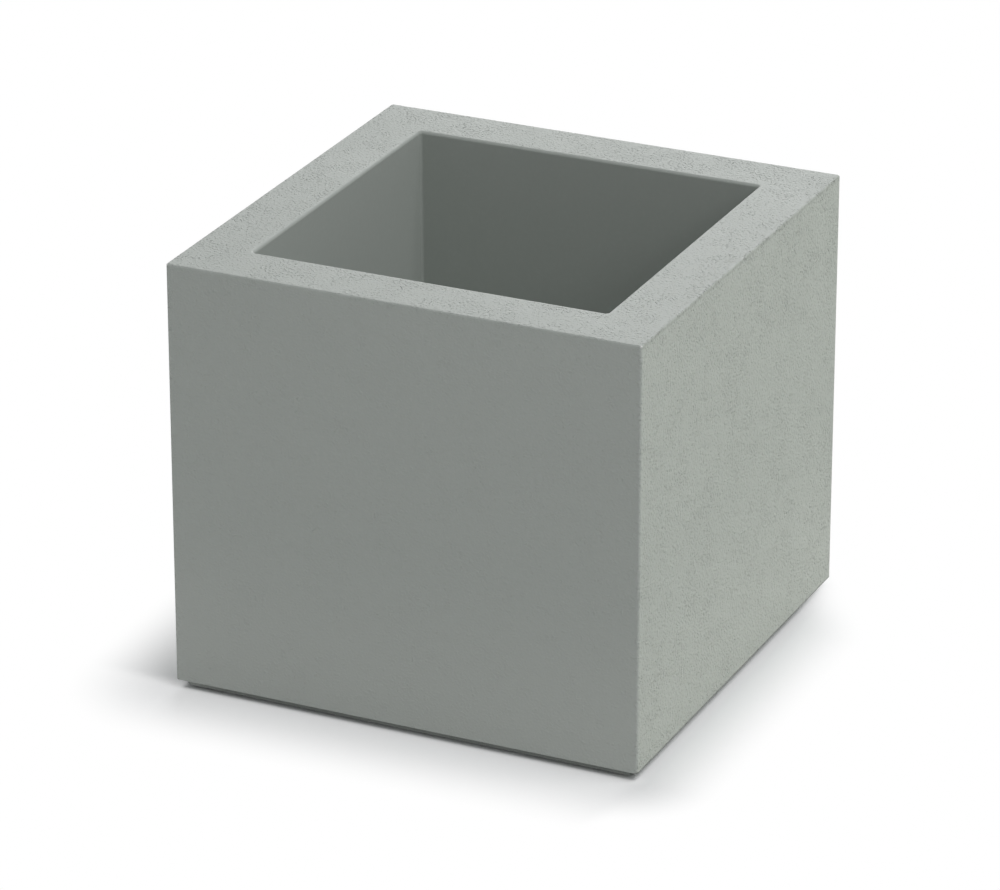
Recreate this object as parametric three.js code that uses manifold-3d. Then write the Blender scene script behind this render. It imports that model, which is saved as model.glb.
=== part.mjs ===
// Square double-walled plastic planter on a set-back plinth, with push-in feet and a drain plug.
// Millimetres, +Z up, front towards -Y, origin on the ground under the middle of the planter.
import * as THREE from 'three';
import { mergeVertices } from 'three/addons/utils/BufferGeometryUtils.js';
import Module from 'manifold-3d';

const wasm = await Module();
wasm.setup();

// Body
const bodyWidth = 400; // side of the square, over the outer walls
const overallHeight = 363; // ground to the rim's upper face
const rimWidth = 50; // outer wall to the well, across the flat rim
const wallThickness = 4; // skin of the hollow moulding
const wallEdgeRadius = 3; // four upright outer edges
const rimOuterRadius = 2; // rim to outer wall
const rimInnerRadius = 3.5; // rim to well
const lowerEdgeRadius = 1; // lower edge of the outer walls

// Well
const floorGap = 27.5; // air space between the well floor and the base panel
const wellDraft = 0.5; // degrees that each well wall leans, so that the core comes out
const wellCornerRadius = 2.5; // upright corners of the well
const wellFloorRadius = 8; // well wall to well floor

// Plinth and base panel
const plinthHeight = 6; // plinth underside to the lower edge of the outer walls
const plinthSetback = 6; // outer wall face to plinth face
const plinthCornerRadius = 4; // upright edges of the plinth
const plinthEdgeRadius = 1.5; // lower edges of the plinth, and the corner under the walls
const plinthRingWidth = 40; // standing ring around the raised base panel
const panelRise = 4; // plinth underside to base panel
const panelCornerRadius = 8; // corners of the raised base panel
const panelEdgeRadius = 2; // base panel to the standing ring's inner face
const cavityRadius = 2; // all edges of the air space between the skins

// Feet
const footHeight = 1.5; // ground to plinth underside
const footDiameter = 30; // pad
const footEdgeRadius = 0.5; // lower edge of the pad
const footHoleDiameter = 10; // hole in the plinth skin
const footBarbLength = 7; // barb above the skin

// Vent cap
const ventHoleDiameter = 12; // hole in the base panel
const ventCapDiameter = 20; // flange below the panel
const ventCapThickness = 2;
const ventBarbLength = 6;

// Drain and its plug
const drainDiameter = 32; // bore of the sleeve
const seatLedge = 14; // ledge around the bore, in the recess that takes the plug's flange
const seatDepth = 5; // well floor to the seat
const seatEdgeRadius = 1.5; // upper edge of the recess
const flangeThickness = 4;
const flangeEdgeRadius = 1; // upper edge of the flange
const flangeClearance = 1; // flange to the wall of its recess, all round
const stemClearance = 0.5; // stem to bore, all round
const stemRecess = 8.8; // base panel's underside to the stem's end, inside the bore
const stemChamfer = 2; // lead-in at the stem's end
const plugWall = 4; // groove bottom to the hollow inside the stem
const plugTop = 7; // flange underside to the top of that hollow
const sealSection = 3; // diameter of the ring seal's section
const loopWidth = 36; // pull loop, over its legs
const loopHeight = 20; // flange to the top of the loop
const loopBar = 5; // legs and cross bar, seen from the front
const loopThickness = 6;
const loopCornerRadius = 9; // outer corners of the loop
const loopEdge = 1; // rounded edges of the loop

// Fits
const seatGap = 0.3; // faces that rest on each other
const holeGap = 0.3; // push-in stem to its hole, all round
const sealGap = 0.25; // seal to bore, and to the groove's bottom
const grooveGap = 0.4; // seal to each side of its groove
const barbBite = 1.5; // how far a barb stands out past its hole, all round

// Fineness
const cornerSteps = 4; // upright corners of the body
const skinSteps = 4; // rounded edges of the outer skin
const cavitySteps = 1; // rounded edges of the air space
const roundSteps = 32; // drain, plug and seal
const sealSteps = 10; // section of the ring seal
const footSteps = 24; // feet, vent cap and their holes
const loopSteps = 6; // each rounded corner of the pull loop
const edgeSteps = 2; // rounded edges of the pull loop
const smallestCorner = 0.5; // least radius that an upright corner is drawn with
const edgeShare = 0.45; // most of an edge that one rounding takes up

// Levels and half widths that follow from the sizes above
const wallHalf = bodyWidth / 2;
const wellHalf = wallHalf - rimWidth;
const plinthHalf = wallHalf - plinthSetback;
const panelHalf = plinthHalf - plinthRingWidth;
const wallLowZ = footHeight + plinthHeight;
const panelZ = footHeight + panelRise;
const wellFloorZ = panelZ + wallThickness + floorGap + wallThickness;
const wellDepth = overallHeight - wellFloorZ;
const wellFloorHalf = wellHalf - wellDepth * Math.tan(THREE.MathUtils.degToRad(wellDraft));
const drainRadius = drainDiameter / 2;
const sleeveRadius = drainRadius + wallThickness;
const seatRadius = drainRadius + seatLedge;
const seatZ = wellFloorZ - seatDepth;
const flangeLow = seatZ + seatGap;
const stemLow = panelZ + stemRecess;
const footAxis = plinthHalf - plinthRingWidth / 2; // middle of the standing ring
const ventAxis = (sleeveRadius + panelHalf) / 2; // midway between the drain and the standing ring
const halfSkin = wallThickness / 2; // how far what joins a skin reaches into it

// Materials
const moulded = { color: '#b0b6b1', roughness: 0.72, metalness: 0 };
const fitting = { color: '#8d938f', roughness: 0.55, metalness: 0 };
const rubber = { color: '#26282a', roughness: 0.85, metalness: 0 };

const planter = new THREE.Group();

// Adds a solid to the planter as a named mesh.
function addPiece(name, solid, finish) {
  const drawn = solid.getMesh();
  const geometry = new THREE.BufferGeometry();
  geometry.setAttribute('position', new THREE.BufferAttribute(drawn.vertProperties, drawn.numProp));
  geometry.setIndex(new THREE.BufferAttribute(drawn.triVerts, 1));
  geometry.computeVertexNormals();
  const mesh = new THREE.Mesh(geometry, new THREE.MeshStandardMaterial(finish));
  mesh.name = name;
  planter.add(mesh);
  return mesh;
}

// Makes a solid of a closed geometry: shared vertices are merged and collapsed triangles dropped.
function solidOf(geometry) {
  geometry.deleteAttribute('normal');
  geometry.deleteAttribute('uv');
  const welded = mergeVertices(geometry);
  const index = welded.index.array;
  const triangles = [];
  for (let i = 0; i < index.length; i += 3) {
    const [a, b, c] = index.slice(i, i + 3);
    if (a !== b && b !== c && c !== a) triangles.push(a, b, c);
  }
  const vertProperties = new Float32Array(welded.attributes.position.array);
  const triVerts = new Uint32Array(triangles);
  return new wasm.Manifold(new wasm.Mesh({ numProp: 3, vertProperties, triVerts }));
}

// Points of an arc that rounds a profile's corner and touches both of its edges.
function roundedCorner(before, corner, after, radius, steps) {
  const back = before.clone().sub(corner);
  const ahead = after.clone().sub(corner);
  const longestReach = edgeShare * Math.min(back.length(), ahead.length());
  back.normalize();
  ahead.normalize();
  const halfAngle = Math.acos(back.dot(ahead)) / 2;
  const reach = Math.min(radius / Math.tan(halfAngle), longestReach);
  const arcRadius = reach * Math.tan(halfAngle);
  const towardsCentre = back.clone().add(ahead).setLength(arcRadius / Math.sin(halfAngle));
  const centre = corner.clone().add(towardsCentre);
  const first = corner.clone().addScaledVector(back, reach).sub(centre);
  const last = corner.clone().addScaledVector(ahead, reach).sub(centre);
  const sweep = Math.atan2(first.cross(last), first.dot(last));
  const points = [];
  for (let i = 0; i <= steps; i++) {
    const turned = first.clone().rotateAround(new THREE.Vector2(), (sweep * i) / steps);
    points.push(turned.add(centre));
  }
  return points;
}

// Outline of a square with rounded corners at one height, counter-clockwise seen from above.
function squareRing(half, cornerRadius, z) {
  const points = [];
  for (let quarter = 0; quarter < 4; quarter++) {
    for (let i = 0; i <= cornerSteps; i++) {
      const angle = (Math.PI / 2) * (quarter + i / cornerSteps);
      const diagonal = (Math.PI / 2) * quarter + Math.PI / 4;
      const centreX = Math.sign(Math.cos(diagonal)) * (half - cornerRadius);
      const centreY = Math.sign(Math.sin(diagonal)) * (half - cornerRadius);
      const x = centreX + cornerRadius * Math.cos(angle);
      const y = centreY + cornerRadius * Math.sin(angle);
      points.push(new THREE.Vector3(x, y, z));
    }
  }
  return points;
}

// Closed skin through a stack of rings, with a flat cap on the first and the last ring.
function loftedSkin(rings) {
  const around = rings[0].length;
  const capHeights = [rings[0][0].z, rings[rings.length - 1][0].z];
  const capCentres = capHeights.map((z) => new THREE.Vector3(0, 0, z));
  const geometry = new THREE.BufferGeometry().setFromPoints([...rings.flat(), ...capCentres]);
  const bottomCentre = rings.length * around;
  const topCentre = bottomCentre + 1;
  const lastRing = (rings.length - 1) * around;
  const triangles = [];
  for (let j = 0; j < around; j++) {
    const next = (j + 1) % around;
    for (let row = 0; row < lastRing; row += around) {
      const above = row + around;
      triangles.push(row + j, row + next, above + next, row + j, above + next, above + j);
    }
    triangles.push(bottomCentre, next, j, topCentre, lastRing + j, lastRing + next);
  }
  return solidOf(geometry.setIndex(triangles));
}

// Turned solid: the profile is a list of [radius, z] that starts and ends on the axis.
function turnedSolid(profile, steps) {
  const points = profile.map(([radius, z]) => new THREE.Vector2(radius, z));
  return solidOf(new THREE.LatheGeometry(points, steps).rotateX(Math.PI / 2));
}

// Plain round bar along Z, for bores and sleeves.
function roundBar(radius, lowZ, highZ, steps) {
  return turnedSolid([[0, lowZ], [radius, lowZ], [radius, highZ], [0, highZ]], steps);
}

// Quarter arc of a turned profile from its lower to its upper end, as [radius, z] points.
function quarterArc(centreRadius, centreZ, radius, fromDegrees, toDegrees) {
  const points = [];
  for (let i = 0; i <= skinSteps; i++) {
    const degrees = THREE.MathUtils.lerp(fromDegrees, toDegrees, i / skinSteps);
    const angle = THREE.MathUtils.degToRad(degrees);
    points.push([centreRadius + radius * Math.cos(angle), centreZ + radius * Math.sin(angle)]);
  }
  return points;
}

// The moulding's skin at a depth below its outer surface: 0 gives the outside, the wall thickness
// gives the air space. The profile runs from the base panel round the plinth, up the wall, over the
// rim and down the well. A bend is its half width, height, rounding and the radius of its corners.
function bodySkin(depth, steps, roundingOf) {
  const bends = [
    [panelHalf + depth, panelZ + depth, panelEdgeRadius, panelCornerRadius + depth],
    [panelHalf + depth, footHeight + depth, plinthEdgeRadius, panelCornerRadius + depth],
    [plinthHalf - depth, footHeight + depth, plinthEdgeRadius, plinthCornerRadius - depth],
    [plinthHalf - depth, wallLowZ + depth, plinthEdgeRadius, plinthCornerRadius - depth],
    [wallHalf - depth, wallLowZ + depth, lowerEdgeRadius, wallEdgeRadius - depth],
    [wallHalf - depth, overallHeight - depth, rimOuterRadius, wallEdgeRadius - depth],
    [wellHalf + depth, overallHeight - depth, rimInnerRadius, wellCornerRadius + depth],
    [wellFloorHalf + depth, wellFloorZ - depth, wellFloorRadius, wellCornerRadius + depth],
  ];
  const onAxis = (bend) => new THREE.Vector2(0, bend[1]);
  const path = bends.map(([half, z]) => new THREE.Vector2(half, z));
  path.unshift(onAxis(bends[0]));
  path.push(onAxis(bends[bends.length - 1]));
  const rings = [];
  bends.forEach(([half, , rounding, corner], i) => {
    const arc = roundedCorner(path[i], path[i + 1], path[i + 2], roundingOf(rounding), steps);
    for (const point of arc) {
      const cornerRadius = Math.max(corner + point.x - half, smallestCorner);
      rings.push(squareRing(point.x, cornerRadius, point.y));
    }
  });
  return loftedSkin(rings);
}

// Hollow body: outer skin less the air space, with the drain sleeve moulded through both floors.
function makeShell() {
  const outside = bodySkin(0, skinSteps, (rounding) => rounding);
  const airSpace = bodySkin(wallThickness, cavitySteps, () => cavityRadius);
  const bowlRadius = seatRadius + wallThickness;
  const bowl = roundBar(bowlRadius, seatZ - wallThickness, wellFloorZ - halfSkin, roundSteps);
  const sleeve = roundBar(sleeveRadius, panelZ + halfSkin, seatZ - halfSkin, roundSteps);
  const recess = turnedSolid(
    [
      [0, seatZ],
      [seatRadius, seatZ],
      ...quarterArc(seatRadius + seatEdgeRadius, wellFloorZ - seatEdgeRadius, seatEdgeRadius, 180, 90),
      [seatRadius + seatEdgeRadius, wellFloorZ + halfSkin],
      [0, wellFloorZ + halfSkin],
    ],
    roundSteps,
  );
  const bore = roundBar(drainRadius, panelZ - halfSkin, seatZ + halfSkin, roundSteps);
  let shell = outside.subtract(airSpace).add(bowl).add(sleeve).subtract(recess).subtract(bore);
  shell = shell.subtract(skinHole(ventHoleDiameter / 2, panelZ).translate([0, ventAxis, 0]));
  for (const { x, y } of footPlaces()) {
    shell = shell.subtract(skinHole(footHoleDiameter / 2, footHeight).translate([x, y, 0]));
  }
  return shell;
}

// Cutter for a round hole through a level skin, given the skin's lower face.
function skinHole(radius, skinLow) {
  return roundBar(radius, skinLow - halfSkin, skinLow + wallThickness + halfSkin, footSteps);
}

// Where the four feet stand, with the words that name them.
function footPlaces() {
  const places = [];
  for (const [row, rowSide] of [['front', -1], ['back', 1]]) {
    for (const [column, columnSide] of [['left', -1], ['right', 1]]) {
      places.push({ name: `foot_${row}_${column}`, x: columnSide * footAxis, y: rowSide * footAxis });
    }
  }
  return places;
}

// Push-in piece with a round head below a skin, a stem through its hole and a barb that grips above it.
function pushInPiece({ headRadius, headLow, headEdge, skinLow, holeRadius, barbLength }) {
  const headHigh = skinLow - seatGap;
  const stemRadius = holeRadius - holeGap;
  const barbLow = skinLow + wallThickness + seatGap;
  const barbRadius = holeRadius + barbBite;
  const tipRadius = holeRadius - barbBite;
  return turnedSolid(
    [
      [0, headLow],
      ...quarterArc(headRadius - headEdge, headLow + headEdge, headEdge, -90, 0),
      [headRadius, headHigh],
      [stemRadius, headHigh],
      [stemRadius, barbLow],
      [barbRadius, barbLow],
      [tipRadius, barbLow + barbLength],
      [0, barbLow + barbLength],
    ],
    footSteps,
  );
}

// Stopper: flange in the floor's recess, hollow stem with a groove for the seal, and a pull loop.
function makeDrainPlug(seal) {
  const flangeHigh = flangeLow + flangeThickness;
  const flangeRadius = seatRadius - flangeClearance;
  const edgeZ = flangeHigh - flangeEdgeRadius;
  const stemRadius = drainRadius - stemClearance;
  const hollowRadius = seal.grooveRadius - plugWall;
  const hollowHigh = flangeLow - plugTop;
  const grooveHalf = sealSection / 2 + grooveGap;
  const turned = turnedSolid(
    [
      [0, hollowHigh],
      [hollowRadius, hollowHigh],
      [hollowRadius, stemLow],
      [stemRadius - stemChamfer, stemLow],
      [stemRadius, stemLow + stemChamfer],
      [stemRadius, seal.z - grooveHalf],
      [seal.grooveRadius, seal.z - grooveHalf],
      [seal.grooveRadius, seal.z + grooveHalf],
      [stemRadius, seal.z + grooveHalf],
      [stemRadius, flangeLow],
      [flangeRadius, flangeLow],
      ...quarterArc(flangeRadius - flangeEdgeRadius, edgeZ, flangeEdgeRadius, 0, 90),
      [0, flangeHigh],
    ],
    roundSteps,
  );
  return turned.add(makePullLoop(flangeHigh));
}

// Upright loop that a finger hooks into: two legs rooted in the flange and a cross bar.
function makePullLoop(flangeHigh) {
  const rootZ = flangeHigh - flangeThickness / 2;
  const topZ = flangeHigh + loopHeight;
  const outerHalf = loopWidth / 2;
  const outerX = outerHalf - loopCornerRadius;
  const outerZ = topZ - loopCornerRadius;
  const innerRadius = Math.max(loopCornerRadius - loopBar, smallestCorner);
  const innerHalf = outerHalf - loopBar;
  const innerX = innerHalf - innerRadius;
  const innerZ = topZ - loopBar - innerRadius;
  const outline = new THREE.Shape();
  outline.moveTo(innerHalf, rootZ);
  outline.lineTo(outerHalf, rootZ);
  outline.absarc(outerX, outerZ, loopCornerRadius, 0, Math.PI / 2);
  outline.absarc(-outerX, outerZ, loopCornerRadius, Math.PI / 2, Math.PI);
  outline.lineTo(-outerHalf, rootZ);
  outline.lineTo(-innerHalf, rootZ);
  outline.absarc(-innerX, innerZ, innerRadius, Math.PI, Math.PI / 2, true);
  outline.absarc(innerX, innerZ, innerRadius, Math.PI / 2, 0, true);
  const plate = new THREE.ExtrudeGeometry(outline, {
    depth: loopThickness - 2 * loopEdge,
    bevelSize: loopEdge,
    bevelThickness: loopEdge,
    bevelOffset: -loopEdge,
    bevelSegments: edgeSteps,
    curveSegments: loopSteps,
  });
  plate.translate(0, 0, loopEdge - loopThickness / 2).rotateX(Math.PI / 2);
  return solidOf(plate);
}

// Where the ring seal sits: half way up the stem, between the bore and the bottom of its groove.
function sealPlace() {
  const sealOuter = drainRadius - sealGap;
  const middle = sealOuter - sealSection / 2;
  const grooveRadius = sealOuter - sealSection - sealGap;
  return { middle, grooveRadius, z: (flangeLow + stemLow) / 2 };
}

// Ring seal of round section.
function makeSeal({ middle, z }) {
  const section = new THREE.EllipseCurve(middle, z, sealSection / 2, sealSection / 2);
  const ring = new THREE.LatheGeometry(section.getPoints(sealSteps), roundSteps);
  return solidOf(ring.rotateX(Math.PI / 2));
}

addPiece('planter_shell', makeShell(), moulded);

const foot = pushInPiece({
  headRadius: footDiameter / 2,
  headLow: 0,
  headEdge: footEdgeRadius,
  skinLow: footHeight,
  holeRadius: footHoleDiameter / 2,
  barbLength: footBarbLength,
});
for (const { name, x, y } of footPlaces()) {
  addPiece(name, foot, rubber).position.set(x, y, 0);
}

const ventCap = pushInPiece({
  headRadius: ventCapDiameter / 2,
  headLow: panelZ - seatGap - ventCapThickness,
  headEdge: ventCapThickness / 2,
  skinLow: panelZ,
  holeRadius: ventHoleDiameter / 2,
  barbLength: ventBarbLength,
});
addPiece('vent_plug', ventCap, fitting).position.set(0, ventAxis, 0);

const seal = sealPlace();
addPiece('drain_plug', makeDrainPlug(seal), fitting);
addPiece('drain_plug_seal', makeSeal(seal), rubber);

export default planter;
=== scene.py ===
import math

import bmesh
import bpy
from mathutils import Matrix, Vector


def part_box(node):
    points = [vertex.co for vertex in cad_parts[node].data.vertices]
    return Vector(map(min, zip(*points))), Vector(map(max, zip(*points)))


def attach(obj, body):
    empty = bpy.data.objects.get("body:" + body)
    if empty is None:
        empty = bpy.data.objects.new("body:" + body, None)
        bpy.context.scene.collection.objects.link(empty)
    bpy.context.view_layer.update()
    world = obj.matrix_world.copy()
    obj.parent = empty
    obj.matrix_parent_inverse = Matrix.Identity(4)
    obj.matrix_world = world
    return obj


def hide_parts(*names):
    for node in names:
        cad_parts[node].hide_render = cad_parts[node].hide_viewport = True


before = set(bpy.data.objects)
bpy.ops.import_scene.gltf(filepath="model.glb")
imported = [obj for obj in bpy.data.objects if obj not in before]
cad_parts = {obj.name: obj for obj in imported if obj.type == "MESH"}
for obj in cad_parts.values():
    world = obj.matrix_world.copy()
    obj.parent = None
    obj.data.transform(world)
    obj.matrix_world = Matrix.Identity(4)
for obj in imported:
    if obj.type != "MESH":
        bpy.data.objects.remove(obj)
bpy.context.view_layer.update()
scene = bpy.context.scene
scene.view_settings.view_transform = "Standard"
print("frame loaded:", ", ".join(sorted(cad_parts)))


class Wire:
    # one socket of a node tree; an expression on wires adds its Math nodes
    def __init__(self, tree, socket=None):
        self.tree = tree
        self.socket = socket

    # any node: its settings first, then the values or links of its sockets
    def add(self, kind, settings=None, inputs=None, output=0):
        node = self.tree.nodes.new(kind)
        for name, value in (settings or {}).items():
            if name == "items":  # how many values an index switch picks from
                while len(node.index_switch_items) < value:
                    node.index_switch_items.new()
            else:
                setattr(node, name, value)
        for key, value in (inputs or {}).items():
            if isinstance(value, Wire):
                self.tree.links.new(value.socket, node.inputs[key])
            else:
                node.inputs[key].default_value = value
        return Wire(self.tree, node.outputs[output] if node.outputs else None)

    def out(self, key):  # another output of the same node
        return Wire(self.tree, self.socket.node.outputs[key])

    def math(self, operation, *values):
        return self.add("ShaderNodeMath", {"operation": operation}, dict(enumerate(values)))

    def ramp(self, low, high):  # 0 at low, 1 at high, smooth between
        return self.add(
            "ShaderNodeMapRange",
            {"interpolation_type": "SMOOTHSTEP"},
            {"Value": self, "From Min": low, "From Max": high},
        )

    def mix(self, first, second):  # colours, by this wire's value
        return self.add(
            "ShaderNodeMix", {"data_type": "RGBA"}, {0: self, 6: first, 7: second}, output=2
        )

    def __add__(self, other):
        return self.math("ADD", self, other)

    def __mul__(self, other):
        return self.math("MULTIPLY", self, other)

    def __sub__(self, other):
        return self.math("SUBTRACT", self, other)

    def __rsub__(self, other):
        return self.math("SUBTRACT", other, self)

    def __truediv__(self, other):
        return self.math("DIVIDE", self, other)

    __radd__ = __add__
    __rmul__ = __mul__


# finishes

def newMaterial(name):
    material = bpy.data.materials.new(name)
    material.use_nodes = True
    material.node_tree.nodes.clear()
    start = Wire(material.node_tree)
    place = start.add("ShaderNodeTexCoord", output="Object")
    return material, start, place


def noise(place, scale, detail=2.0, roughness=0.5):
    return place.add(
        "ShaderNodeTexNoise",
        inputs={"Vector": place, "Scale": scale, "Detail": detail, "Roughness": roughness},
    )


def bumped(height, strength, distance):
    return height.add(
        "ShaderNodeBump", inputs={"Height": height, "Strength": strength, "Distance": distance}
    )


def principled(start, **inputs):
    sockets = {name.replace("_", " "): value for name, value in inputs.items()}
    shader = start.add("ShaderNodeBsdfPrincipled", inputs=sockets)
    start.add("ShaderNodeOutputMaterial", inputs={"Surface": shader})


mouldedLook = {
    "colour": (0.430, 0.462, 0.436, 1),
    "paleFleck": (0.440, 0.472, 0.446, 1),
    "darkFleck": (0.421, 0.453, 0.427, 1),
    # worn edges, paler and smoother, which also carry a painted highlight along the rim and upright
    # edges
    "wornEdgeAndHighlight": (0.500, 0.528, 0.506, 1),
    # painted highlight at the top corners
    "cornerHighlight": (0.86, 0.88, 0.86, 1),
    # painted light: the moulding turns paler towards the ground
    "dustAndPaintedLight": (0.478, 0.508, 0.480, 1),
    # painted shade for the plinth's face in the recess under the wall, also used for the line below
    # the rim edge
    "plinthShade": (0.245, 0.263, 0.249, 1),
    # painted shade: a dark line along the side walls' lower edge and on the plinth's sides
    "lowLineShade": (0.130, 0.140, 0.134, 1),
    "roughness": 0.62,
    "grainSize": 0.0021,  # metres
    "grainDepth": 0.00056,
    "cloudScale": 11.0,  # noise cycles per metre
    "patchScale": 48.0,
    "wearAndHighlightScale": 60.0,
    "edgeBand": 0.004,  # metres in from an edge
    "mouthBand": (-0.001, 0.005),  # metres out from the well
    "smoothBand": (0.001, 0.005),
    "undersideBand": (0.030, 0.020),  # heights: none at the first, all at the second
    # heights over which the painted light near the ground sets in
    "lowPaintedLightBand": (0.17, 0.02),
    "plinthFoot": (0.001, 0.0035),
    "plinthHead": (0.0095, 0.0080),
    "plinthIn": (-0.004, -0.002),  # metres from the plinth's face
    "plinthOut": (-0.003, -0.0045),  # metres from the wall
    "plinthEnd": (-0.194, -0.155),  # its shade is weaker at the left end
    "lowLine": (0.0096, 0.0081),
    # heights of the painted shade line just below the rim on the side walls
    "rimLineFoot": (-0.0040, -0.0022),  # metres from the rim
    "rimLineHead": (-0.0004, -0.0014),
}


# the two ends of a band that is measured from some level
def bandAt(level, band):
    return level + band[0], level + band[1]


# places on the moulding: each wire is 1 there and 0 elsewhere
def mouldedPlaces(look, place, half, rimZ, wellHalf, plinthHalf):
    parts = place.add("ShaderNodeSeparateXYZ", inputs={"Vector": place})
    x, z = parts.out("X"), parts.out("Z")
    sideX, sideY = (parts.math("ABSOLUTE", parts.out(axis)) for axis in "XY")
    farSide = parts.math("MAXIMUM", sideX, sideY)
    outerX = sideX.ramp(half - look["edgeBand"], half)
    outerY = sideY.ramp(half - look["edgeBand"], half)
    top = z.ramp(rimZ - look["edgeBand"], rimZ)
    mouth = 1 - farSide.ramp(*bandAt(wellHalf, look["mouthBand"]))
    upright = outerX * outerY
    rimEdge = parts.math("MAXIMUM", parts.math("MAXIMUM", outerX, outerY), mouth) * top
    # the plinth's face, which gets painted shade
    plinthFace = bandAt(plinthHalf, look["plinthIn"])
    plinth = farSide.ramp(*plinthFace) * farSide.ramp(*bandAt(half, look["plinthOut"]))
    plinth = plinth * z.ramp(*look["plinthFoot"]) * z.ramp(*look["plinthHead"])
    plinth = plinth * (0.25 + x.ramp(*look["plinthEnd"]) * 0.75)
    # painted shade line along the lower edge of the side walls
    lowLine = outerX * z.ramp(*look["lowLine"])
    rimLine = outerX * z.ramp(*bandAt(rimZ, look["rimLineFoot"]))
    outside = farSide.ramp(*bandAt(wellHalf, look["smoothBand"]))  # the well is smooth
    return {
        "outerX": outerX,
        "outerY": outerY,
        "top": top,
        "edge": parts.math("MAXIMUM", upright, rimEdge),
        "corner": upright * top,
        "lowPaintedLight": z.ramp(*look["lowPaintedLightBand"]),
        "plinth": plinth,
        "lowLine": parts.math("MAXIMUM", lowLine, plinth * sideX.ramp(*plinthFace)),
        "rimLine": rimLine * z.ramp(*bandAt(rimZ, look["rimLineHead"])),
        "grained": parts.math("MAXIMUM", outside, z.ramp(*look["undersideBand"])),
    }


# faint flecks and clouds, painted light that makes the walls paler near the ground, worn edges with
# a painted edge highlight, painted highlights on the top corners, painted shade round the foot and
# along the side walls' lower and rim edges
def mouldedColour(look, spots, fleck, cloud, wearAndHighlight):
    colour = fleck.ramp(0.56, 0.72).mix(look["colour"], look["paleFleck"])
    colour = (fleck.ramp(0.44, 0.28) * 0.8).mix(colour, look["darkFleck"])
    colour = (cloud.ramp(0.35, 0.75) * 0.12).mix(colour, look["paleFleck"])
    # painted light: paler towards the ground
    colour = (spots["lowPaintedLight"] * 0.85).mix(colour, look["dustAndPaintedLight"])
    # worn edges, partly a painted highlight along the rim and upright edges
    colour = (wearAndHighlight * 0.35).mix(colour, look["wornEdgeAndHighlight"])
    # painted highlight: near-white spots at the four top corners
    colour = spots["corner"].ramp(0.35, 0.70).mix(colour, look["cornerHighlight"])
    # painted shade on the plinth's face, weaker at the left end
    colour = spots["plinth"].mix(colour, look["plinthShade"])
    # painted shade along the side walls' lower edge and the plinth's sides
    colour = (spots["lowLine"] * 0.90).mix(colour, look["lowLineShade"])
    # painted shade in a thin line just below the rim edge of the side walls
    return (spots["rimLine"] * 0.32).mix(colour, look["plinthShade"])


# raised grain, which stands out more in places
def mouldedGrain(look, spots, grain, patch):
    close = (grain.ramp(0.50, 0.82) - grain.ramp(0.46, 0.20) * 0.35) * (0.6 + patch * 0.4)
    close = close + grain * 0.3
    sparse = grain.ramp(0.53, 0.76) * 1.45 - grain.ramp(0.42, 0.20) * 0.4
    sparse = sparse * (0.45 + patch * 0.65)
    height = close + spots["top"] * (sparse - close)  # the rim has fewer, single grains
    share = 1 + spots["outerX"] * 0.9 - spots["outerY"] * 0.4  # the sides have more than the front
    return bumped(height * (share * spots["grained"]), 1.0, look["grainDepth"])


# matt grained moulding
def mouldedFinish(look, half, rimZ, wellHalf, plinthHalf):
    material, start, place = newMaterial("moulded_grey_plastic")
    spots = mouldedPlaces(look, place, half, rimZ, wellHalf, plinthHalf)
    grain = noise(place, 1 / look["grainSize"], 1.0)
    fleck = noise(place, 0.6 / look["grainSize"], 1.0)
    cloud = noise(place, look["cloudScale"], 3.0, 0.55)
    patch = noise(place, look["patchScale"]).ramp(0.40, 0.62)
    wearAndHighlight = spots["edge"] * noise(place, look["wearAndHighlightScale"], 4.0, 0.65).ramp(0.42, 0.62)
    principled(
        start,
        Base_Color=mouldedColour(look, spots, fleck, cloud, wearAndHighlight),
        Roughness=look["roughness"] + (grain - 0.5) * 0.16 + (cloud - 0.5) * 0.10 - wearAndHighlight * 0.06,
        Specular_IOR_Level=0.4,
        Normal=mouldedGrain(look, spots, grain, patch),
    )
    return material


fittingLook = {
    "colour": (0.255, 0.272, 0.262, 1),
    "pale": (0.310, 0.326, 0.315, 1),
    "roughness": 0.48,
}


# satin injection moulding for the stopper and the vent cap
def fittingFinish(look):
    material, start, place = newMaterial("satin_grey_plastic")
    grain = noise(place, 2400.0, 2.0)
    cloud = noise(place, 90.0, 3.0, 0.6)
    scuff = noise(place, 700.0, 2.0, 0.6).ramp(0.62, 0.74) * cloud.ramp(0.45, 0.65)
    colour = (scuff * 0.6).mix(look["colour"], look["pale"])
    colour = ((cloud - 0.5) * 0.5).mix(colour, look["pale"])
    roughness = look["roughness"] + (cloud - 0.5) * 0.14 + scuff * 0.12
    principled(start, Base_Color=colour, Roughness=roughness, Normal=bumped(grain, 0.35, 0.00003))
    return material


footLook = {
    "colour": (0.020, 0.021, 0.022, 1),
    "dustAndPaintedLight": (0.075, 0.073, 0.070, 1),
    "roughness": 0.78,
}
sealLook = {
    "colour": (0.014, 0.014, 0.015, 1),
    "dustAndPaintedLight": (0.030, 0.030, 0.031, 1),
    "roughness": 0.46,
}


# moulded rubber: dull, with dust held in its fine texture
def rubberFinish(name, look):
    material, start, place = newMaterial(name)
    grain = noise(place, 1800.0, 3.0, 0.6)
    cloud = noise(place, 160.0, 4.0, 0.6)
    dustAndPaintedLight = cloud.ramp(0.45, 0.75) * (0.4 + grain * 0.6)
    colour = (dustAndPaintedLight * 0.7).mix(look["colour"], look["dustAndPaintedLight"])
    roughness = look["roughness"] + (grain - 0.5) * 0.14 + dustAndPaintedLight * 0.10
    principled(start, Base_Color=colour, Roughness=roughness, Normal=bumped(grain, 0.5, 0.00005))
    return material


# geometry trees

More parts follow.
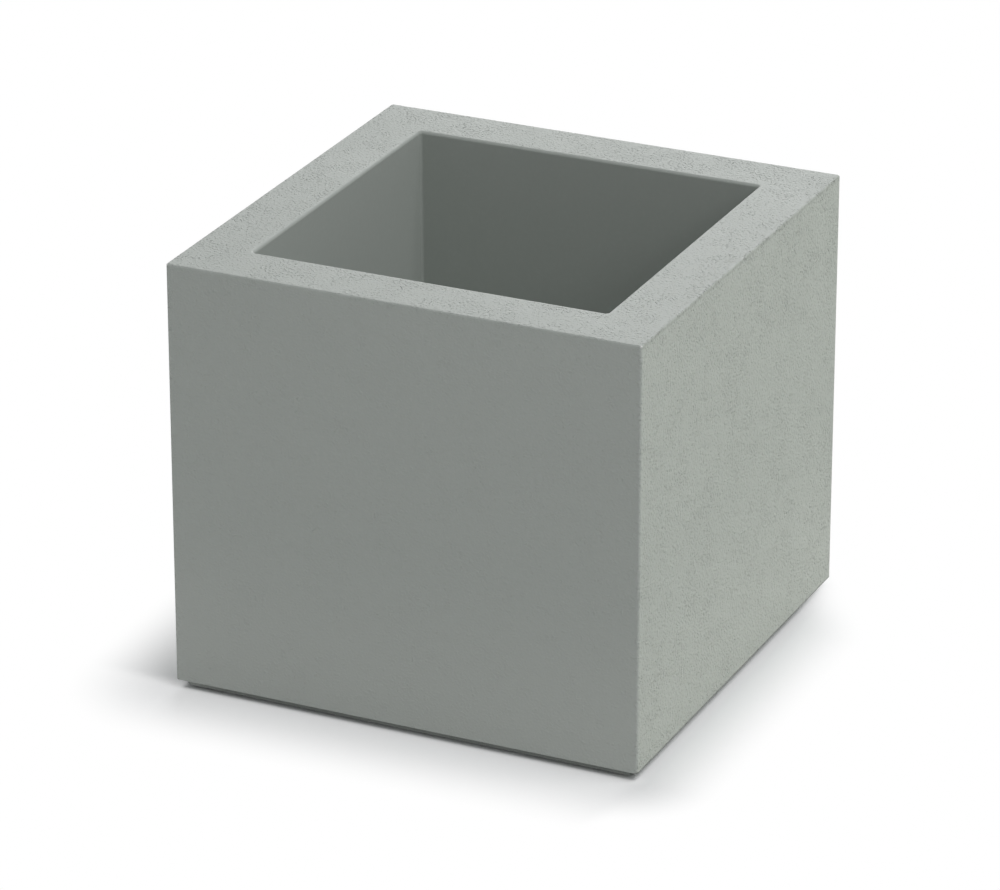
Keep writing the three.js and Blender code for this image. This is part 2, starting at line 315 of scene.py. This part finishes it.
# a tree with one named input for each size, and the wires of those inputs
def newTree(name, sizes):
    tree = bpy.data.node_groups.new(name, "GeometryNodeTree")
    for label, value in sizes.items():
        kind = "NodeSocketInt" if isinstance(value, int) else "NodeSocketFloat"
        tree.interface.new_socket(label, in_out="INPUT", socket_type=kind)
    tree.interface.new_socket("Finish", in_out="INPUT", socket_type="NodeSocketMaterial")
    tree.interface.new_socket("Geometry", in_out="OUTPUT", socket_type="NodeSocketGeometry")
    entry = tree.nodes.new("NodeGroupInput")
    size = {label: Wire(tree, entry.outputs[label]) for label in [*sizes, "Finish"]}
    return tree, Wire(tree), size


# every tree ends with plain geometry that carries its finish
def closeTree(start, geometry, finish):
    whole = start.add("GeometryNodeRealizeInstances", inputs={"Geometry": geometry})
    dressed = start.add("GeometryNodeSetMaterial", inputs={"Geometry": whole, "Material": finish})
    start.add("NodeGroupOutput", inputs={"Geometry": dressed})


# runs a tree with its sizes and gives the result as a plain mesh
def meshFrom(tree, sizes, finish):
    maker = bpy.data.objects.new(tree.name, bpy.data.meshes.new(tree.name))
    modifier = maker.modifiers.new("shape", "NODES")
    modifier.node_group = tree
    for item in tree.interface.items_tree:
        if item.in_out == "INPUT":
            modifier[item.identifier] = finish if item.name == "Finish" else sizes[item.name]
    scene.collection.objects.link(maker)
    evaluated = maker.evaluated_get(bpy.context.evaluated_depsgraph_get())
    mesh = bpy.data.meshes.new_from_object(evaluated)
    bpy.data.objects.remove(maker)
    return mesh


# a profile from the axis to the axis: each bend is half width, height, rounding, corner radius
def bentProfile(start, bends, steps):
    index = start.add("GeometryNodeInputIndex")

    def perBend(column):
        values = {i + 1: bend[column] for i, bend in enumerate(bends)}
        settings = {"data_type": "FLOAT", "items": len(bends)}
        return start.add("GeometryNodeIndexSwitch", settings, {"Index": index, **values})

    line = start.add("GeometryNodeMeshLine", inputs={"Count": len(bends)})
    spot = start.add("ShaderNodeCombineXYZ", inputs={"X": perBend(0), "Z": perBend(1)})
    line = start.add("GeometryNodeSetPosition", inputs={"Geometry": line, "Position": spot})
    for label, column in (("bendHalf", 0), ("bendCorner", 3)):
        line = start.add(
            "GeometryNodeStoreNamedAttribute",
            inputs={"Geometry": line, "Name": label, "Value": perBend(column)},
        )
    curve = start.add("GeometryNodeMeshToCurve", inputs={"Mesh": line})
    return start.add(
        "GeometryNodeFilletCurve",
        {"mode": "POLY"},
        {"Curve": curve, "Count": steps, "Radius": perBend(2), "Limit Radius": True},
    )


# skins a profile with rounded square rings; a corner as large as its half width makes a circle
def ringLoft(start, profile, cornerSteps, leastCorner=0.0):
    points = start.add(
        "GeometryNodeAttributeDomainSize", {"component": "CURVE"}, {"Geometry": profile}
    )
    perQuarter = cornerSteps + 1
    columns = perQuarter * 4 + 1
    grid = start.add(
        "GeometryNodeMeshGrid", inputs={"Vertices X": points, "Vertices Y": columns}
    )
    index = start.add("GeometryNodeInputIndex")
    row = start.math("FLOOR", (index + 0.5) / columns)
    column = index - row * columns

    def sampled(kind, value):
        return start.add(
            "GeometryNodeSampleIndex",
            {"data_type": kind, "domain": "POINT"},
            {"Geometry": profile, "Value": value, "Index": row},
        )

    def named(label):
        value = start.add(
            "GeometryNodeInputNamedAttribute", {"data_type": "FLOAT"}, {"Name": label}
        )
        return sampled("FLOAT", value)

    spot = sampled("FLOAT_VECTOR", start.add("GeometryNodeInputPosition"))
    spot = start.add("ShaderNodeSeparateXYZ", inputs={"Vector": spot})
    half = spot.out("X")
    corner = start.math("MAXIMUM", named("bendCorner") + half - named("bendHalf"), leastCorner)
    corner = start.math("MINIMUM", corner, half)
    quarter = start.math("FLOOR", (column + 0.5) / perQuarter)
    angle = (quarter + (column - quarter * perQuarter) / cornerSteps) * (math.pi / 2)
    diagonal = quarter * (math.pi / 2) + math.pi / 4
    centre = half - corner
    x = centre * start.math("SIGN", start.math("COSINE", diagonal))
    y = centre * start.math("SIGN", start.math("SINE", diagonal))
    place = start.add(
        "ShaderNodeCombineXYZ",
        inputs={
            "X": x + corner * start.math("COSINE", angle),
            "Y": y + corner * start.math("SINE", angle),
            "Z": spot.out("Z"),
        },
    )
    skin = start.add("GeometryNodeSetPosition", inputs={"Geometry": grid, "Position": place})
    skin = start.add("GeometryNodeMergeByDistance", inputs={"Geometry": skin, "Distance": 1e-6})
    # faces point outwards, or nothing could be cut from the skin
    return start.add("GeometryNodeFlipFaces", inputs={"Mesh": skin})


# a turned skin: each bend is radius, height, rounding
def turnedSkin(start, bends, steps, roundSteps):
    profile = bentProfile(start, [(*bend, bend[0]) for bend in bends], steps)
    return ringLoft(start, profile, roundSteps)


# copies a shape to the four corners of a square about the axis
def fourCorners(start, shape, reach):
    spots = start.add(
        "GeometryNodeMeshGrid",
        inputs={"Size X": reach * 2, "Size Y": reach * 2, "Vertices X": 2, "Vertices Y": 2},
    )
    copies = start.add("GeometryNodeInstanceOnPoints", inputs={"Points": spots, "Instance": shape})
    return start.add("GeometryNodeRealizeInstances", inputs={"Geometry": copies})


meshCare = {
    "mergeWithin": 1e-6,  # metres
    "shortestEdge": 1e-7,
    "sharpFrom": 32,  # degrees between faces
}


# cleans and shades a mesh and gives it its place in the model
def addPiece(name, mesh, body, slotName, *nodes):
    shaped = bmesh.new()
    shaped.from_mesh(mesh)
    bmesh.ops.remove_doubles(shaped, verts=shaped.verts, dist=meshCare["mergeWithin"])
    bmesh.ops.dissolve_degenerate(shaped, edges=shaped.edges, dist=meshCare["shortestEdge"])
    bmesh.ops.recalc_face_normals(shaped, faces=shaped.faces)
    for face in shaped.faces:
        face.smooth = True
    shaped.to_mesh(mesh)
    shaped.free()
    mesh.name = name
    mesh.set_sharp_from_angle(angle=math.radians(meshCare["sharpFrom"]))
    made = bpy.data.objects.new(name, mesh)
    scene.collection.objects.link(made)
    even = made.modifiers.new("even shading", "WEIGHTED_NORMAL")
    even.keep_sharp = True
    evaluated = made.evaluated_get(bpy.context.evaluated_depsgraph_get())
    made.data = bpy.data.meshes.new_from_object(evaluated)
    made.modifiers.clear()
    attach(made, body)
    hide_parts(*nodes)
    print(f"{name}: {len(made.data.polygons)} faces")


# body

shellLow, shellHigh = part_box("planter_shell")

bodySizes = {
    "Body width": shellHigh.x - shellLow.x,
    "Rim height": shellHigh.z,
    "Rim width": 0.050,
    "Well floor height": 0.041,
    "Well narrowing": 0.00281,  # each side, rim to floor
    "Plinth underside": shellLow.z,
    "Wall underside": 0.0075,
    "Panel underside": 0.0055,
    "Plinth setback": 0.006,
    "Ring width": 0.040,
    "Upright edge": 0.002,
    "Rim outer edge": 0.0014,
    "Rim inner edge": 0.0026,
    "Lower edge": 0.001,
    "Well corner": 0.0025,
    "Well floor edge": 0.008,
    "Plinth corner": 0.004,
    "Plinth edge": 0.0015,
    "Panel corner": 0.008,
    "Panel edge": 0.002,
    "Drain radius": 0.016,
    "Seat radius": 0.030,
    "Seat height": 0.036,
    "Seat edge": 0.0015,
    "Foot reach": 0.174,
    "Foot pocket radius": 0.0070,
    "Foot pocket top": 0.0135,
    "Vent reach": 0.087,
    "Vent pocket radius": 0.0080,
    "Vent pocket top": 0.0165,
    "Cut beyond": 0.002,  # how far a cutter stands out past what it cuts
    "Least corner": 0.0005,
    "Corner steps": 8,
    "Edge steps": 8,
    "Round steps": 20,
}


# one skin from the base panel round the plinth, up the wall, over the rim and down the well
def bodyTree(sizes):
    tree, start, size = newTree("planter_skin", sizes)
    wall = size["Body width"] * 0.5
    well = wall - size["Rim width"]
    wellFloor = well - size["Well narrowing"]
    plinth = wall - size["Plinth setback"]
    panel = plinth - size["Ring width"]
    low, wallLow, panelZ = size["Plinth underside"], size["Wall underside"], size["Panel underside"]
    rimZ, floorZ = size["Rim height"], size["Well floor height"]
    edge, plinthCorner = size["Plinth edge"], size["Plinth corner"]
    panelCorner, wallCorner = size["Panel corner"], size["Upright edge"]
    wellCorner, edgeSteps = size["Well corner"], size["Edge steps"]
    bends = [
        (0.0, panelZ, 0.0, 0.0),
        (panel, panelZ, size["Panel edge"], panelCorner),
        (panel, low, edge, panelCorner),
        (plinth, low, edge, plinthCorner),
        (plinth, wallLow, edge, plinthCorner),
        (wall, wallLow, size["Lower edge"], wallCorner),
        (wall, rimZ, size["Rim outer edge"], wallCorner),
        (well, rimZ, size["Rim inner edge"], wellCorner),
        (wellFloor, floorZ, size["Well floor edge"], wellCorner),
        (0.0, floorZ, 0.0, 0.0),
    ]
    profile = bentProfile(start, bends, edgeSteps)
    skin = ringLoft(start, profile, size["Corner steps"], size["Least corner"])
    seat, seatZ, seatEdge = size["Seat radius"], size["Seat height"], size["Seat edge"]
    beyond, roundSteps = size["Cut beyond"], size["Round steps"]
    recessBends = [
        (0.0, seatZ, 0.0),
        (seat, seatZ, 0.0),
        (seat, floorZ, seatEdge),
        (seat + seatEdge, floorZ, 0.0),
        (seat + seatEdge, floorZ + beyond * 2, 0.0),
        (0.0, floorZ + beyond * 2, 0.0),
    ]
    recess = turnedSkin(start, recessBends, edgeSteps, roundSteps)

    def bar(radius, barLow, barTop):
        spots = ((0.0, barLow), (radius, barLow), (radius, barTop), (0.0, barTop))
        return turnedSkin(start, [(*spot, 0.0) for spot in spots], 1, roundSteps)

    bore = bar(size["Drain radius"], panelZ - beyond, seatZ + beyond)
    footPocket = bar(size["Foot pocket radius"], low - beyond, size["Foot pocket top"])
    footPockets = fourCorners(start, footPocket, size["Foot reach"])
    ventPocket = bar(size["Vent pocket radius"], panelZ - beyond, size["Vent pocket top"])
    ventSpot = start.add("ShaderNodeCombineXYZ", inputs={"Y": size["Vent reach"]})
    ventPocket = start.add(
        "GeometryNodeTransform", inputs={"Geometry": ventPocket, "Translation": ventSpot}
    )
    for cutter in (recess, bore, footPockets, ventPocket):
        skin = start.add(
            "GeometryNodeMeshBoolean",
            {"operation": "DIFFERENCE", "solver": "EXACT"},
            {"Mesh 1": skin, "Mesh 2": cutter},
        )
    closeTree(start, skin, size["Finish"])
    return tree


bodyHalf = bodySizes["Body width"] / 2
mouldedPlastic = mouldedFinish(
    mouldedLook,
    bodyHalf,
    bodySizes["Rim height"],
    bodyHalf - bodySizes["Rim width"],
    bodyHalf - bodySizes["Plinth setback"],
)
bodyMesh = meshFrom(bodyTree(bodySizes), bodySizes, mouldedPlastic)
addPiece("planter_body", bodyMesh, "planter", "moulded_body", "planter_shell")


# feet

footSizes = {
    "Foot reach": bodySizes["Foot reach"],
    "Pad radius": 0.015,
    "Pad top": 0.0012,
    "Pad edge": 0.0005,
    "Groove depth": 0.0004,
    "Groove edge": 0.00015,
    "Dimple radius": 0.0040,
    "Groove inner": 0.0078,
    "Groove outer": 0.0098,
    "Stem radius": 0.0047,
    "Barb height": 0.0058,
    "Barb radius": 0.0065,
    "Barb tip radius": 0.0035,
    "Barb top": 0.0128,
    "Edge steps": 4,
    "Round steps": 12,
}


# a push-in foot with a treaded sole, set at the four corners of the plinth
def feetTree(sizes):
    tree, start, size = newTree("planter_foot_set", sizes)
    depth, soft = size["Groove depth"], size["Groove edge"]
    padTop, stem, barbZ = size["Pad top"], size["Stem radius"], size["Barb height"]
    bends = [
        (0.0, depth, 0.0),
        (size["Dimple radius"] - depth, depth, soft),
        (size["Dimple radius"], 0.0, soft),
        (size["Groove inner"], 0.0, soft),
        (size["Groove inner"] + depth, depth, soft),
        (size["Groove outer"] - depth, depth, soft),
        (size["Groove outer"], 0.0, soft),
        (size["Pad radius"], 0.0, size["Pad edge"]),
        (size["Pad radius"], padTop, soft),
        (stem, padTop, soft),
        (stem, barbZ, soft),
        (size["Barb radius"], barbZ, soft),
        (size["Barb tip radius"], size["Barb top"], size["Pad edge"]),
        (0.0, size["Barb top"], 0.0),
    ]
    foot = turnedSkin(start, bends, size["Edge steps"], size["Round steps"])
    closeTree(start, fourCorners(start, foot, size["Foot reach"]), size["Finish"])
    return tree


footRubber = rubberFinish("foot_rubber", footLook)
feetMesh = meshFrom(feetTree(footSizes), footSizes, footRubber)
footNodes = [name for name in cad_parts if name.startswith("foot_")]
addPiece("planter_feet", feetMesh, "planter", "foot_rubber", *footNodes)


# turned and swept pieces

# rounds the bends of a profile: each bend is radius, height, rounding
def roundedProfile(bends, steps=5):
    points = []
    for i, (x, z, rounding) in enumerate(bends):
        spot = Vector((x, z))
        if rounding == 0:
            points.append(spot)
            continue
        back = Vector(bends[i - 1][:2]) - spot
        ahead = Vector(bends[(i + 1) % len(bends)][:2]) - spot
        halfAngle = back.angle(ahead) / 2
        reach = rounding / math.tan(halfAngle)
        back.normalize()
        ahead.normalize()
        centre = spot + (back + ahead).normalized() * (rounding / math.sin(halfAngle))
        first = spot + back * reach - centre
        last = spot + ahead * reach - centre
        sweep = first.angle_signed(last)
        for step in range(steps + 1):
            cosine = math.cos(-sweep * step / steps)
            sine = math.sin(-sweep * step / steps)
            x, z = first
            points.append(centre + Vector((x * cosine - z * sine, x * sine + z * cosine)))
    return points


# turns a profile about the Z axis; a closed profile makes a ring
def turnedMesh(points, steps, finish, closed=False):
    made = bmesh.new()
    angles = [2 * math.pi * i / steps for i in range(steps)]
    around = [(math.cos(angle), math.sin(angle)) for angle in angles]
    rings = []
    for radius, z in points:
        if radius < 1e-6:  # on the axis
            rings.append([made.verts.new((0, 0, z))] * steps)
            continue
        rings.append([made.verts.new((radius * x, radius * y, z)) for x, y in around])
    following = rings[1:] + rings[:1] if closed else rings[1:]
    for lower, upper in zip(rings, following):
        for i in range(steps):
            j = (i + 1) % steps
            corners = list(dict.fromkeys([lower[i], lower[j], upper[j], upper[i]]))
            if len(corners) > 2:
                made.faces.new(corners)
    mesh = bpy.data.meshes.new("turned")
    made.to_mesh(mesh)
    made.free()
    mesh.materials.append(finish)
    return mesh


# welds the second mesh into the first
def joinedMesh(first, second):
    parts = [bpy.data.objects.new("part", mesh) for mesh in (first, second)]
    for part in parts:
        scene.collection.objects.link(part)
    weld = parts[0].modifiers.new("weld", "BOOLEAN")
    weld.operation = "UNION"
    weld.solver = "EXACT"
    weld.object = parts[1]
    evaluated = parts[0].evaluated_get(bpy.context.evaluated_depsgraph_get())
    mesh = bpy.data.meshes.new_from_object(evaluated)
    for part in parts:
        bpy.data.objects.remove(part)
    return mesh


# drain stopper

fittingPlastic = fittingFinish(fittingLook)
plugLow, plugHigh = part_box("drain_plug")

stopperSizes = {
    "flangeRadius": 0.0290,
    "flangeLow": 0.0363,
    "flangeTop": 0.0403,
    "dishRadius": 0.0240,  # shallow dish around the loop
    "dishDepth": 0.0006,
    "dishSlope": 0.0012,
    "stemRadius": 0.0155,
    "stemLow": plugLow.z,
    "hollowRadius": 0.0085,
    "hollowTop": 0.0293,
    "stemChamfer": 0.0020,
    "grooveRadius": 0.0125,
    "grooveLow": 0.0234,
    "grooveTop": 0.0272,
    "loopHalf": 0.0155,  # to the middle of the bar
    "loopTop": plugHigh.z,
    "loopBend": 0.0065,
    "barWide": 0.0050,
    "barDeep": 0.0060,
    "barRounding": 0.0018,
    "rootDepth": 0.0025,  # how far the legs run into the flange
    "rootFlare": 0.35,  # how much wider the legs get at the flange
    "flareHeight": 0.0030,
    "legSteps": 12,
    "bendSteps": 12,
    "barSteps": 5,
    "roundSteps": 96,
}


def stopperTurned(size):
    top, dish = size["flangeTop"], size["flangeTop"] - size["dishDepth"]
    stem, groove, chamfer = size["stemRadius"], size["grooveRadius"], size["stemChamfer"]
    bends = [
        (0.0, size["hollowTop"], 0),
        (size["hollowRadius"], size["hollowTop"], 0.0010),
        (size["hollowRadius"], size["stemLow"], 0.0005),
        (stem - chamfer, size["stemLow"], 0.0008),
        (stem, size["stemLow"] + chamfer, 0.0008),
        (stem, size["grooveLow"], 0.0003),
        (groove, size["grooveLow"], 0.0003),
        (groove, size["grooveTop"], 0.0003),
        (stem, size["grooveTop"], 0.0003),
        (stem, size["flangeLow"], 0.0006),
        (size["flangeRadius"], size["flangeLow"], 0.0005),
        (size["flangeRadius"], top, 0.0010),
        (size["dishRadius"] + size["dishSlope"], top, 0.0006),
        (size["dishRadius"], dish, 0.0006),
        (0.0, dish, 0),
    ]
    return turnedMesh(roundedProfile(bends), size["roundSteps"], fittingPlastic)


# half of the loop's path, up one leg to the top: each step is a spot and the way outwards there
def loopPath(size):
    rootZ = size["flangeTop"] - size["rootDepth"]
    topZ = size["loopTop"] - size["barWide"] / 2
    half, bend = size["loopHalf"], size["loopBend"]
    path = []
    for i in range(size["legSteps"]):
        legZ = rootZ + (topZ - bend - rootZ) * i / size["legSteps"]
        path.append((Vector((half, 0, legZ)), Vector((1, 0, 0))))
    for i in range(size["bendSteps"] + 1):
        angle = math.pi / 2 * i / size["bendSteps"]
        out = Vector((math.cos(angle), 0, math.sin(angle)))
        path.append((Vector((half - bend, 0, topZ - bend)) + out * bend, out))
    return path


# the loop's bar cut across: a rounded rectangle, out from the loop and along Y
def barSection(size):
    wide, deep, rounding = size["barWide"] / 2, size["barDeep"] / 2, size["barRounding"]
    section = []
    for quarter, (across, along) in enumerate(((1, 1), (-1, 1), (-1, -1), (1, -1))):
        for i in range(size["barSteps"] + 1):
            angle = math.pi / 2 * (quarter + i / size["barSteps"])
            outwards = across * (wide - rounding) + rounding * math.cos(angle)
            section.append((outwards, along * (deep - rounding) + rounding * math.sin(angle)))
    return section


# sweeps the bar up one leg, over the top and down the other; the roots flare into the flange
def stopperLoop(size):
    path, section, aside = loopPath(size), barSection(size), Vector((0, 1, 0))
    mirrored = [
        (Vector((-spot.x, 0, spot.z)), Vector((-out.x, 0, out.z))) for spot, out in reversed(path)
    ]
    made = bmesh.new()
    rings = []
    for spot, out in path + mirrored:
        rise = (spot.z - size["flangeTop"]) / size["flareHeight"]
        flare = 1 + size["rootFlare"] * max(0.0, 1 - max(rise, 0.0)) ** 2
        rings.append([made.verts.new(spot + (out * a + aside * b) * flare) for a, b in section])
    count = len(section)
    for lower, upper in zip(rings, rings[1:]):
        for i in range(count):
            j = (i + 1) % count
            made.faces.new((lower[i], lower[j], upper[j], upper[i]))
    made.faces.new(list(reversed(rings[0])))
    made.faces.new(rings[-1])
    bmesh.ops.recalc_face_normals(made, faces=made.faces)
    mesh = bpy.data.meshes.new("loop")
    made.to_mesh(mesh)
    made.free()
    mesh.materials.append(fittingPlastic)
    return mesh


stopperMesh = joinedMesh(stopperTurned(stopperSizes), stopperLoop(stopperSizes))
addPiece("drain_stopper", stopperMesh, "drain_plug", "plug_plastic", "drain_plug")


# ring seal in the stopper's groove

ringSizes = {
    "middleRadius": 0.01425,
    "sectionRadius": 0.0015,
    "height": 0.0253,
    "sectionSteps": 20,
    "roundSteps": 96,
}


def ringMesh(size, finish):
    points = []
    for i in range(size["sectionSteps"]):
        angle = 2 * math.pi * i / size["sectionSteps"]
        radius = size["middleRadius"] + size["sectionRadius"] * math.cos(angle)
        points.append((radius, size["height"] + size["sectionRadius"] * math.sin(angle)))
    return turnedMesh(points, size["roundSteps"], finish, closed=True)


sealRubber = rubberFinish("seal_rubber", sealLook)
sealMesh = ringMesh(ringSizes, sealRubber)
addPiece("stopper_ring", sealMesh, "drain_plug", "seal_rubber", "drain_plug_seal")


# vent cap under the base panel

ventSizes = {
    "reach": bodySizes["Vent reach"],
    "headRadius": 0.0100,
    "headLow": 0.0032,
    "headTop": 0.0052,
    "headFall": 0.0003,  # the head is a little higher at its edge
    "dimpleRadius": 0.0045,
    "dimpleDepth": 0.0006,
    "dimpleSlope": 0.0008,
    "stemRadius": 0.0057,
    "barbLow": 0.0098,
    "barbRadius": 0.0075,
    "tipRadius": 0.0045,
    "tipTop": 0.0158,
    "roundSteps": 64,
}


def ventMesh(size):
    dimpleZ = size["headLow"] + size["dimpleDepth"]
    bends = [
        (0.0, dimpleZ, 0),
        (size["dimpleRadius"] - size["dimpleSlope"], dimpleZ, 0.0004),
        (size["dimpleRadius"], size["headLow"], 0.0004),
        (size["headRadius"], size["headLow"] + size["headFall"], 0.0010),
        (size["headRadius"], size["headTop"], 0.0003),
        (size["stemRadius"], size["headTop"], 0.0003),
        (size["stemRadius"], size["barbLow"], 0.0003),
        (size["barbRadius"], size["barbLow"], 0.0004),
        (size["tipRadius"], size["tipTop"], 0.0010),
        (0.0, size["tipTop"], 0),
    ]
    mesh = turnedMesh(roundedProfile(bends), size["roundSteps"], fittingPlastic)
    mesh.transform(Matrix.Translation((0, size["reach"], 0)))
    return mesh


addPiece("vent_cap", ventMesh(ventSizes), "planter", "plug_plastic", "vent_plug")


# floor, world and lamps

stageLook = {
    "floorHalf": 6.0,
    "seenWhite": (0.966, 0.980, 0.994, 1),
    "bounce": (0.85, 0.85, 0.85, 1),
    "ambient": 0.245,
    "footprintHalf": bodyHalf - bodySizes["Plinth setback"],
    "underEdge": (0.186, 0.178),  # half width within which the floor lets light up to the underside
    "shadowReach": (0.006, 0.100),  # metres from the plinth over which the floor turns plain white
    "clearBack": (0.10, 0.22, 0.056),  # behind the object it turns white sooner
    "clearRight": (0.185, 0.21, 0.35),  # and on the right, by this share
    "frontSide": (0.18, 0.20),
    "frontLift": 0.34,  # share of white in the shade at the front
    "rightLift": 0.14,
    "contact": (0.0, 0.005),  # metres from the plinth over which that share sets in
    "rightBand": 0.23,  # more of it in a narrow band beside the right wall
    "bandIn": (0.0000, 0.0040),  # metres from the plinth
    "bandOut": (0.0130, 0.0048),
}


# true for what the eye, a gloss or a clear material sees of the stage
def seenRay(start):
    path = start.add("ShaderNodeLightPath")
    seen = start.math("MAXIMUM", path.out("Is Camera Ray"), path.out("Is Glossy Ray"))
    return start.math("MAXIMUM", seen, path.out("Is Transmission Ray"))


def makeFloor(look):
    reach = look["floorHalf"]
    mesh = bpy.data.meshes.new("pale_floor")
    corners = [(-reach, -reach, 0), (reach, -reach, 0), (reach, reach, 0), (-reach, reach, 0)]
    mesh.from_pydata(corners, [], [(0, 1, 2, 3)])
    floor = bpy.data.objects.new("pale_floor", mesh)
    scene.collection.objects.link(floor)
    material, start, place = newMaterial("pale_floor")
    parts = place.add("ShaderNodeSeparateXYZ", inputs={"Vector": place})
    sideX, sideY = (start.math("ABSOLUTE", parts.out(axis)) for axis in "XY")
    awayX = start.math("MAXIMUM", sideX - look["footprintHalf"], 0.0)
    awayY = start.math("MAXIMUM", sideY - look["footprintHalf"], 0.0)
    away = start.math("SQRT", awayX * awayX + awayY * awayY)
    backLow, backHigh, sooner = look["clearBack"]
    rightLow, rightHigh, faster = look["clearRight"]
    right = parts.out("X").ramp(rightLow, rightHigh)
    front = (0 - parts.out("Y")).ramp(*look["frontSide"])
    spread = (away + parts.out("Y").ramp(backLow, backHigh) * sooner) * (1 + right * faster)
    far = spread.ramp(*look["shadowReach"])
    near = front * (1 - right) * look["frontLift"] + right * look["rightLift"]
    near = near * away.ramp(*look["contact"])
    band = away.ramp(*look["bandIn"]) * away.ramp(*look["bandOut"])
    near = near + right * band * look["rightBand"]
    far = far + near * (1 - far)
    lit = start.add("ShaderNodeBsdfDiffuse", inputs={"Color": look["seenWhite"]})
    plain = start.add("ShaderNodeEmission", inputs={"Color": (1, 1, 1, 1), "Strength": 1.0})
    shown = start.add("ShaderNodeMixShader", inputs={0: far, 1: lit, 2: plain})
    dull = start.add("ShaderNodeBsdfDiffuse", inputs={"Color": look["bounce"]})
    surface = start.add("ShaderNodeMixShader", inputs={0: seenRay(start), 1: dull, 2: shown})
    below = start.add("ShaderNodeNewGeometry").out("Backfacing")
    under = start.math("MAXIMUM", sideX, sideY).ramp(*look["underEdge"])
    under = under * (1 - seenRay(start))  # ambient light from below, for the underside alone
    clear = start.add("ShaderNodeBsdfTransparent")
    gone = start.math("MAXIMUM", below, under)
    surface = start.add("ShaderNodeMixShader", inputs={0: gone, 1: surface, 2: clear})
    start.add("ShaderNodeOutputMaterial", inputs={"Surface": surface})
    mesh.materials.append(material)


def makeWorld(look):
    world = bpy.data.worlds.new("studio_white")
    world.use_nodes = True
    world.node_tree.nodes.clear()
    start = Wire(world.node_tree)
    light, white = (
        start.add("ShaderNodeBackground", inputs={"Color": (1, 1, 1, 1), "Strength": strength})
        for strength in (look["ambient"], 1.0)
    )
    shown = start.add("ShaderNodeMixShader", inputs={0: seenRay(start), 1: light, 2: white})
    start.add("ShaderNodeOutputWorld", inputs={"Surface": shown})
    scene.world = world


lampSet = {
    "key_softbox": {"from": (3.0, 0.0, 5.376), "size": (3.0, 3.0), "power": 98.0},
    "front_key": {"from": (3.781, -2.363, 4.195), "size": (3.0, 3.0), "power": 56.5},
    "back_softbox": {"from": (-1.459, 5.446, 2.232), "size": (3.0, 3.0), "power": 163.0},
    "side_strip": {
        "from": (4.596, 3.857, 0.18),
        "size": (3.0, 0.3),
        "power": 70.0,
        "colour": (0.95, 0.98, 0.78),
    },
    "front_strip": {"from": (0.0, -6.0, 0.18), "size": (3.0, 0.3), "power": 16.0},
}


def makeLamps(lamps):
    aim = Vector((0, 0, 0.18))  # about the middle of the object
    for name, lamp in lamps.items():
        data = bpy.data.lights.new(name, "AREA")
        data.shape = "RECTANGLE"
        data.size, data.size_y = lamp["size"]
        data.energy = lamp["power"]
        data.color = lamp.get("colour", (1, 1, 1))
        made = bpy.data.objects.new(name, data)
        made.location = lamp["from"]
        made.rotation_euler = (aim - made.location).to_track_quat("-Z", "Y").to_euler()
        scene.collection.objects.link(made)


makeFloor(stageLook)
makeWorld(stageLook)
makeLamps(lampSet)
print("stage:", len(lampSet), "lamps")


# camera, from the corners of the object in the photograph

cameraView = {
    "lens": 196.99,  # millimetres on a 36 mm wide sensor
    "azimuth": 24.83,
    "elevation": 23.37,
    "distance": 4.3755,
    "centre": (0, 0, 0.184),
    "rightShift": 0.00786,  # where the centre lies from the picture's middle
    "upShift": 0.0141,
}


def makeCamera(view):
    data = bpy.data.cameras.new("photo_camera")
    data.sensor_width = 36.0
    data.lens = view["lens"]
    data.clip_start, data.clip_end = 0.05, 100.0
    camera = bpy.data.objects.new("photo_camera", data)
    turn, rise = math.radians(view["azimuth"]), math.radians(view["elevation"])
    level = math.cos(rise)
    back = Vector((math.sin(turn) * level, -math.cos(turn) * level, math.sin(rise)))
    right = Vector((math.cos(turn), math.sin(turn), 0))
    up = back.cross(right)
    spot = Vector(view["centre"]) + back * view["distance"]
    camera.location = spot - right * view["rightShift"] - up * view["upShift"]
    camera.rotation_euler = (-back).to_track_quat("-Z", "Y").to_euler()
    scene.collection.objects.link(camera)
    scene.camera = camera


makeCamera(cameraView)
print("camera set")
